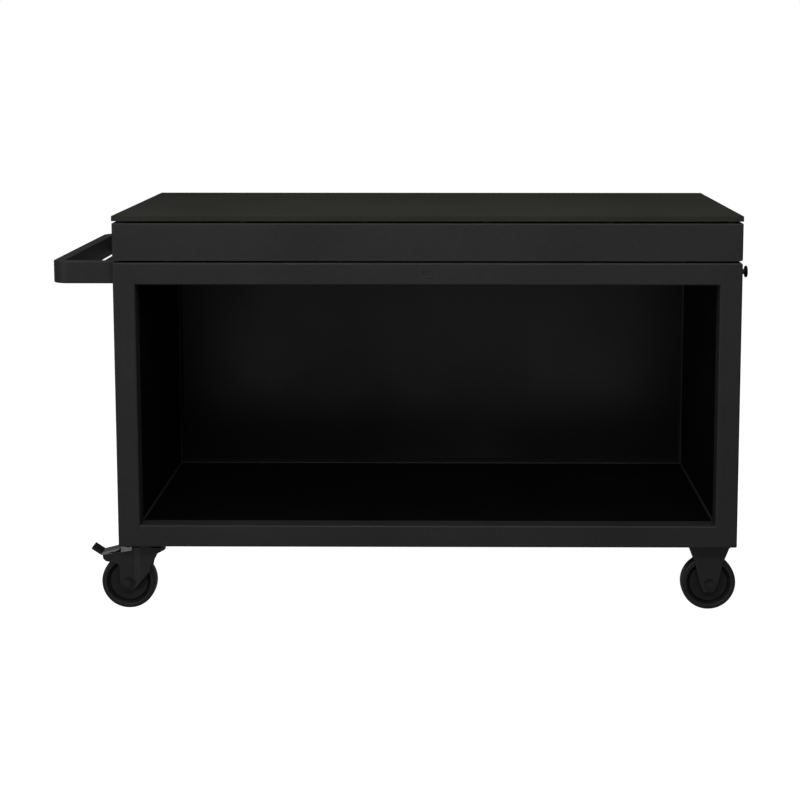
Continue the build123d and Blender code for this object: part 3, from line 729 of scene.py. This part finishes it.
@dataclass
class SwivelForks:
    """The pressed forks of the two swivel casters."""

    sheet: float = 0.0025
    edge: float = 0.0006
    top_drop: float = 0.0103
    crown_radius: float = 0.0405
    crown_rim: float = 0.0195
    crown_foot: float = 0.026
    crown_flat: float = 0.033
    crown_bore: float = 0.0065
    throat: float = 0.0235
    flank: tuple[Pair, ...] = ((0.0075, -0.065), (0.0098, -0.053))
    step: Pair = (-0.029, -0.0125)
    step_rise: float = 0.0045
    boss_radius: float = 0.0165
    boss_ring: Pair = (0.0138, 0.0165)
    ring_thick: float = 0.0012
    heel_reach: float = 0.0195
    ear_start: float = -0.0287
    ear_reach: float = 0.058
    ear_drop: float = 0.0165
    ear_fall: float = 0.0125
    ear_foot: float = 0.0425
    nose: float = 0.0035

    def build(self) -> None:
        """Makes the front fork and copies it to the rear."""
        step = middle("rear_left_fork") - middle("front_left_fork")
        fork = self._fork("front")
        axle, face = middle("front_left_wheel_core"), leg_face("front")
        rings = axle_ring("front_left_boss_rings", axle, face, self.boss_ring, self.ring_thick)
        pieces = {
            "front": (fork, rings),
            "rear": (
                moved_copy(fork, "rear_left_pressed_fork", step),
                moved_copy(rings, "rear_left_boss_rings", step),
            ),
        }
        for place, (fork, rings) in pieces.items():
            fit(fork, f"{place}_left_swivel", CASTER_COAT, "caster_steel", f"{place}_left_fork")
            fit(rings, f"{place}_left_swivel", CASTER_COAT, "caster_steel")

    def _head(self, place: str) -> Vector:
        """Finds where the swivel axis meets the frame's underside.

        Args:
            place: Front or rear.

        Returns:
            The swivel head's place.
        """
        plate = middle(f"{place}_left_swivel_plate")
        plate.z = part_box(f"{place}_left_swivel_plate")[1].z
        return plate

    def _lip(self, place: str) -> float:
        """Returns X from the swivel axis at which the crown's rim meets the leg's face."""
        half = self._head(place).y - leg_face(place) + self.step_rise - self.sheet / 2
        return math.sqrt(self.crown_radius ** 2 - half ** 2)

    def _outline(self, place: str) -> list[Pair]:
        """Draws one leg with its ear.

        Args:
            place: Front or rear.

        Returns:
            The leg's outline in X and Z, from the swivel head.
        """
        axle = middle(f"{place}_left_wheel_core") - self._head(place)
        nose, boss = self.nose, self.boss_radius
        ear = axle.x - self.ear_reach
        back = axle.x - self.heel_reach
        tip = -self.ear_drop - self.ear_fall
        lip = self._lip(place)
        corners = [
            (self.ear_start, -self.top_drop, 0.0),
            (self.ear_start, -self.ear_drop, 0.002),
            (ear, tip, 0.002),
            (ear + nose / 2, tip - 2.4 * nose, 0.004),
            (ear + 2 * nose, -self.ear_foot, 0.003),
            (back - nose, -self.ear_foot - 1.6 * nose, 0.008),
            (back, -self.ear_foot - 5 * nose, 0.006),
            (back, axle.z + boss * 0.8, 0.006),
            (axle.x - boss, axle.z - boss, boss * 0.95),
            (axle.x + boss * 0.8, axle.z - boss, boss * 0.7),
            *[(x, z, 0.015) for x, z in self.flank],
            (self.throat, -self.crown_foot + self.edge, 0.003),
            (lip, -self.crown_rim - 2 * self.edge, 0.002),
            (lip, -self.top_drop, 0.0),
        ]
        return rounded(corners)

    def _fork(self, place: str) -> bpy.types.Object:
        """Presses one fork: two stepped legs and the crown between them.

        Args:
            place: Front or rear.

        Returns:
            The fork.
        """
        head = self._head(place)
        face = leg_face(place)
        outline = [(head.x + x, face, head.z + z) for x, z in self._outline(place)]
        leg = extrude_outline(f"{place}_left_pressed_fork", outline, (0, self.sheet, 0))
        start, end = (head.x + x for x in self.step)
        press_step(leg, start, end, -self.step_rise, head.y)
        soften(leg, self.edge)
        crown = self._crown(head, face + self.sheet / 2)
        press_step(crown, start, end, -self.step_rise, face + self.sheet)
        halves = joined("fork_crown", [crown, mirrored(crown, head.y)])
        open_mesh(halves)
        bpy.ops.mesh.remove_doubles(threshold=WELD)
        close_mesh()
        return joined(f"{place}_left_pressed_fork", [leg, mirrored(leg, head.y), halves])

    def _crown(self, head: Vector, cut: float) -> bpy.types.Object:
        """Turns the crown, halves it and cuts it flush with the legs.

        Args:
            head: The swivel head's place.
            cut: Y of the cut behind the leg's face.

        Returns:
            The crown's front half.
        """
        edge = self.edge
        profile = [
            (self.crown_bore, -self.top_drop), (self.crown_radius - edge, -self.top_drop),
            (self.crown_radius, -self.top_drop - edge), (self.crown_radius, -self.crown_rim + edge),
            (self.crown_radius - edge, -self.crown_rim - edge),
            (self.throat + 2 * edge, -self.crown_foot + edge / 2), (self.throat, -self.crown_foot),
            (self.crown_bore, -self.crown_foot), (self.crown_bore, -self.top_drop),
        ]
        points = [(head.x + radius, head.y, head.z + z) for radius, z in profile]
        crown = spin_profile("fork_crown", points, head, Axis.Z, 72)
        cuts = (
            ((head.x - self.crown_flat, 0, 0), (-1, 0, 0), True),
            ((0, cut, 0), (0, -1, 0), True),
            ((0, head.y, 0), (0, 1, 0), False),
        )
        open_mesh(crown)
        for place, outward, fill in cuts:
            bpy.ops.mesh.select_all(action="SELECT")
            bpy.ops.mesh.bisect(plane_co=place, plane_no=outward, use_fill=fill, clear_outer=True)
        close_mesh()
        return crown


@dataclass
class FixedBrackets:
    """The pressed brackets of the two fixed casters."""

    sheet: float = 0.0025
    edge: float = 0.0006
    plate_sheet: float = 0.003
    plate_round: float = 0.009
    waist_half: float = 0.031
    waist_drop: float = 0.046
    waist_round: float = 0.02
    axle_half: float = 0.0205
    foot_half: float = 0.011
    foot_drop: float = 0.02
    foot_round: float = 0.005
    crease: float = -0.0218
    crease_width: float = 0.002
    crease_turn: float = 6.5
    washer: Pair = (0.0088, 0.0112)
    washer_thick: float = 0.0012

    def build(self) -> None:
        """Makes the front bracket and copies it to the rear."""
        step = middle("rear_right_bracket") - middle("front_right_bracket")
        bracket = self._bracket()
        axle, face = middle("front_right_wheel_core"), leg_face("front")
        washers = axle_ring("front_right_axle_washers", axle, face, self.washer, self.washer_thick)
        pieces = {
            "front": (bracket, washers),
            "rear": (
                moved_copy(bracket, "rear_right_pressed_bracket", step),
                moved_copy(washers, "rear_right_axle_washers", step),
            ),
        }
        for place, (bracket, washers) in pieces.items():
            fit(bracket, "cabinet", CASTER_COAT, "caster_steel", f"{place}_right_bracket")
            fit(washers, "cabinet", BLACK_STEEL, "black_fasteners")

    def _bracket(self) -> bpy.types.Object:
        """Presses the front bracket: the plate and two creased legs.

        Returns:
            The bracket.
        """
        low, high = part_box("front_right_bracket")
        centre = middle("front_right_bracket")
        face = leg_face("front")
        reach = (high.x - low.x) / 2
        axle = middle("front_right_wheel_core").z - high.z
        foot = axle - self.foot_drop
        taper = [
            (reach, -self.plate_sheet / 2, 0.0), (self.waist_half, -self.waist_drop, self.waist_round),
            (self.axle_half, axle, self.waist_round), (self.foot_half, foot, self.foot_round),
        ]
        outline = rounded([(-x, z, turn) for x, z, turn in taper] + taper[::-1])
        points = [(centre.x + x, face, high.z + z) for x, z in outline]
        leg = extrude_outline("front_right_pressed_bracket", points, (0, self.sheet, 0))
        self._fold(leg, centre.x + self.crease, face + self.sheet)
        soften(leg, self.edge)
        wide = (high.y - low.y) / 2
        corners = [(-reach, -wide), (reach, -wide), (reach, wide), (-reach, wide)]
        sheet = rounded([(x, y, self.plate_round) for x, y in corners])
        points = [(centre.x + x, centre.y + y, high.z - self.plate_sheet) for x, y in sheet]
        plate = extrude_outline("bracket_plate", points, (0, 0, self.plate_sheet))
        soften(plate, self.edge)
        return joined("front_right_pressed_bracket", [leg, mirrored(leg, centre.y), plate])

    def _fold(self, leg: bpy.types.Object, x: float, y: float) -> None:
        """Folds the leg's left flank back about an upright crease.

        Args:
            leg: The leg.
            x: The crease's X.
            y: The leg's inner face.
        """
        open_mesh(leg)
        lines = (x, x - self.crease_width)
        for line in lines:
            bpy.ops.mesh.select_all(action="SELECT")
            bpy.ops.mesh.bisect(plane_co=(line, 0, 0), plane_no=(1, 0, 0))
        for line in lines:
            select_where(leg, lambda spot: spot.x < line - WELD)
            bpy.ops.transform.rotate(value=math.radians(self.crease_turn), orient_axis="Z",
                                     center_override=(line, y, 0))
        close_mesh()


@dataclass
class PedalPads:
    """The moulded pads of the two brake pedals, with grip grooves on top."""

    length: float = 0.026
    thick: float = 0.0065
    tilt: float = 34.0
    edge: float = 0.002
    groove: float = 0.0008
    groove_pitch: float = 0.0045
    groove_count: int = 4

    def build(self) -> None:
        """Makes the front pad and copies it to the rear."""
        front = self._pad()
        step = middle("rear_left_pedal_pad") - middle("front_left_pedal_pad")
        rear = moved_copy(front, "rear_left_grip_pad", step)
        for place, pad in (("front", front), ("rear", rear)):
            fit(pad, f"{place}_left_pedal", PEDAL_PLASTIC, "black_plastic", f"{place}_left_pedal_pad")

    def _pad(self) -> bpy.types.Object:
        """Draws the pad's side with its grooves and extrudes it across the pedal.

        Returns:
            The pad.
        """
        low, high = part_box("front_left_pedal_pad")
        centre = middle("front_left_pedal_pad")
        along, across = self.length / 2, self.thick / 2
        side = rounded([
            (along, across, self.edge), (along, -across, self.edge),
            (-along, -across, self.edge), (-along, across, self.edge),
        ])
        start = -self.groove_pitch * (self.groove_count - 1) / 2
        for i in range(self.groove_count):
            side += arc((start + self.groove_pitch * i, across), self.groove, 180, 360, 6)
        cos, sin = math.cos(math.radians(self.tilt)), math.sin(math.radians(self.tilt))
        points = [
            (centre.x + u * cos + v * sin, low[1], centre.z + v * cos - u * sin)
            for u, v in side
        ]
        pad = extrude_outline("front_left_grip_pad", points, (0, high[1] - low[1], 0))
        return soften(pad, self.edge / 3)


# ---------------------------------------------------------------- pegs and nameplate
@dataclass
class Trim:
    """Mushroom pegs on the right side and the blank nameplate on the front."""

    peg_count: int = 4
    peg_facets: int = 40
    rivet_facets: int = 16
    head: float = 0.0062
    stem: float = 0.006
    foot: float = 0.008
    foot_sheet: float = 0.0012
    soft: float = 0.0012
    rim: float = 0.0011
    rim_depth: float = 0.0003
    plate_round: float = 0.003
    rivet_radius: float = 0.0009
    rivet_inset: float = 0.0032

    def build(self) -> None:
        """Makes the pegs and the nameplate."""
        self._pegs()
        self._nameplate()

    def _pegs(self) -> None:
        """Turns one painted stem and one moulded head and copies them along the side."""
        low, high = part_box("tool_pegs")
        radius = (high.z - low.z) / 2
        spot = Vector((low.x, low.y + radius, (low.z + high.z) / 2))
        pitch = (high.y - low.y - 2 * radius) / (self.peg_count - 1)
        seat = high.x - low.x - self.head
        soft = self.soft
        foot_face, tip = self.foot_sheet, high.x - low.x
        stem = [
            (0, 0), (0, self.foot), (foot_face, self.foot),
            (foot_face + soft, self.stem + soft / 3), (foot_face + 2 * soft, self.stem),
            (seat + soft, self.stem), (seat + soft, 0),
        ]
        round_edge = arc((seat + self.head / 2, radius - self.head / 2), self.head / 2, 180, 0, 10)
        head = [(seat, 0), (seat, self.stem + soft), *round_edge, (tip, radius / 2), (tip, 0)]
        parts = (
            ("side_peg_stems", stem, POWDER_COAT, "frame_paint", ()),
            ("side_peg_heads", head, PEG_PLASTIC, "black_plastic", ("tool_pegs",)),
        )
        for name, profile, finish, slot, nodes in parts:
            points = [(spot.x + along, spot.y, spot.z + out) for along, out in profile]
            peg = spin_profile(name, points, spot, Axis.X, self.peg_facets)
            steps = [pitch * i for i in range(1, self.peg_count)]
            copies = [moved_copy(peg, f"{name}_copy", (0, step, 0)) for step in steps]
            fit(joined(name, [peg, *copies]), "cabinet", finish, slot, *nodes)

    def _nameplate(self) -> None:
        """Presses the blank plate with its raised rim and sets two rivets."""
        low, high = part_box("blank_nameplate")
        centre = middle("blank_nameplate")
        half_x, half_z = (high[0] - low[0]) / 2, (high[2] - low[2]) / 2
        corners = [(-half_x, -half_z), (half_x, -half_z), (half_x, half_z), (-half_x, half_z)]
        side = rounded([(x, z, self.plate_round) for x, z in corners])
        points = [(centre.x + x, high[1], centre.z + z) for x, z in side]
        plate = extrude_outline("rimmed_nameplate", points, (0, low[1] - high[1], 0))
        open_mesh(plate, "DESELECT")
        select_where(plate, lambda spot: spot.y < centre.y)
        bpy.ops.mesh.select_mode(type="FACE")
        bpy.ops.mesh.inset(thickness=self.rim, depth=0)
        bpy.ops.mesh.inset(thickness=self.rim_depth, depth=-self.rim_depth)
        close_mesh()
        floor, depth, radius = low[1] + self.rim_depth, self.rim_depth, self.rivet_radius
        dome = [
            (0.0, floor - depth * 0.9), (radius / 2, floor - depth * 0.8),
            (radius * 0.9, floor - depth / 3), (radius, floor), (0.0, floor),
        ]
        rivets = []
        for sign in (-1, 1):
            x = centre.x + sign * (half_x - self.rivet_inset)
            points = [(x, y, centre.z + out) for out, y in dome]
            rivet = spin_profile("nameplate_rivet", points, (x, 0, centre.z), Axis.Y, self.rivet_facets)
            rivets.append(rivet)
        whole = joined("rimmed_nameplate", [plate, *rivets])
        fit(whole, "cabinet", NAMEPLATE_COAT, "nameplate", "blank_nameplate")


# ---------------------------------------------------------------- studio
@dataclass(frozen=True)
class Softbox:
    """One rectangular soft light: its middle, its turn in degrees, its size in metres and its watts."""

    name: str
    place: Point
    turn: Point
    size: Pair
    power: float

    def hang(self) -> None:
        """Adds the light to the scene."""
        turn = [math.radians(angle) for angle in self.turn]
        bpy.ops.object.light_add(type="AREA", location=self.place, rotation=turn)
        light = bpy.context.active_object
        light.name = self.name
        light.data.shape = "RECTANGLE"
        light.data.size, light.data.size_y = self.size
        light.data.energy = self.power


SOFTBOXES = (
    Softbox("overhead_softbox", (0.0, -0.6, 3.6), (0.0, 0.0, 0.0), (4.0, 3.0), 95.0),
    Softbox("front_softbox", (0.0, -2.6, 2.7), (47.0, 0.0, 0.0), (3.0, 0.8), 110.0),
    Softbox("left_softbox", (-3.5, -3.5, 0.9), (82.0, 0.0, -45.0), (1.0, 1.0), 60.0),
)


@dataclass
class Studio:
    """Pale floor, soft lights and the camera."""

    floor_size: float = 60.0
    floor_shade: float = 0.2
    floor_roughness: float = 0.9
    floor_seen: float = 1.0
    floor_glow: float = 0.25
    sky_seen: float = 1.0
    sky_light: float = 0.12
    eye: Point = (0.118, -4.3091, 1.2523)
    pitch: float = -7.2811
    yaw: float = 0.4713
    lens: float = 80.877
    shift: Pair = (-0.0471, -0.1397)

    def build(self) -> None:
        """Sets the floor, the sky, the lights and the camera."""
        self._floor()
        self._sky()
        for softbox in SOFTBOXES:
            softbox.hang()
        self._camera()
        bpy.context.scene.view_settings.view_transform = "Standard"

    def _floor(self) -> None:
        """Lays the pale floor."""
        bpy.ops.mesh.primitive_plane_add(size=self.floor_size, location=(0, 0, 0))
        floor = bpy.context.active_object
        floor.name = "studio_floor"
        material = bpy.data.materials.new("pale_floor")
        material.use_nodes = True
        shader = material.node_tree.nodes["Principled BSDF"]
        shade = self.floor_shade
        shader.inputs["Base Color"].default_value = (shade, shade, shade, 1)
        shader.inputs["Roughness"].default_value = self.floor_roughness
        shader.inputs["Specular IOR Level"].default_value = 0.0
        shader.inputs["Emission Color"].default_value = (1, 1, 1, 1)
        glow = shader.inputs["Emission Strength"]
        self._seen_or_felt(material.node_tree, glow, self.floor_seen, self.floor_glow)
        floor.data.materials.append(material)

    def _sky(self) -> None:
        """Makes a white backdrop that lights the object only softly."""
        world = bpy.data.worlds.new("studio_world")
        bpy.context.scene.world = world
        world.use_nodes = True
        backdrop = world.node_tree.nodes["Background"]
        backdrop.inputs["Color"].default_value = (1, 1, 1, 1)
        self._seen_or_felt(world.node_tree, backdrop.inputs["Strength"], self.sky_seen, self.sky_light)

    def _seen_or_felt(self, tree: bpy.types.NodeTree, socket: bpy.types.NodeSocket,
                      seen: float, felt: float) -> None:
        """Gives the backdrop one brightness in the picture and another as a light.

        Args:
            tree: The node tree.
            socket: The strength socket.
            seen: Brightness in the picture.
            felt: Brightness as a light.
        """
        ray = tree.nodes.new("ShaderNodeLightPath")
        strength = tree.nodes.new("ShaderNodeMapRange")
        strength.inputs["To Min"].default_value = felt
        strength.inputs["To Max"].default_value = seen
        tree.links.new(ray.outputs["Is Camera Ray"], strength.inputs["Value"])
        tree.links.new(strength.outputs["Result"], socket)

    def _camera(self) -> None:
        """Sets the camera."""
        turn = (math.radians(90 + self.pitch), 0, math.radians(self.yaw))
        bpy.ops.object.camera_add(location=self.eye, rotation=turn)
        camera = bpy.context.active_object
        camera.name = "studio_camera"
        camera.data.lens = self.lens
        camera.data.shift_x, camera.data.shift_y = self.shift
        bpy.context.scene.camera = camera


def main() -> None:
    """Builds the looks in order and reports each piece."""
    logging.basicConfig(level=logging.INFO, format="%(name)s: %(message)s")
    Studio().build()
    dress_nodes()
    for group in (Wheels(), SwivelForks(), FixedBrackets(), PedalPads(), Trim()):
        LOG.info("making %s", type(group).__name__)
        group.build()
    clear_selection()


if __name__ == "__main__":
    main()
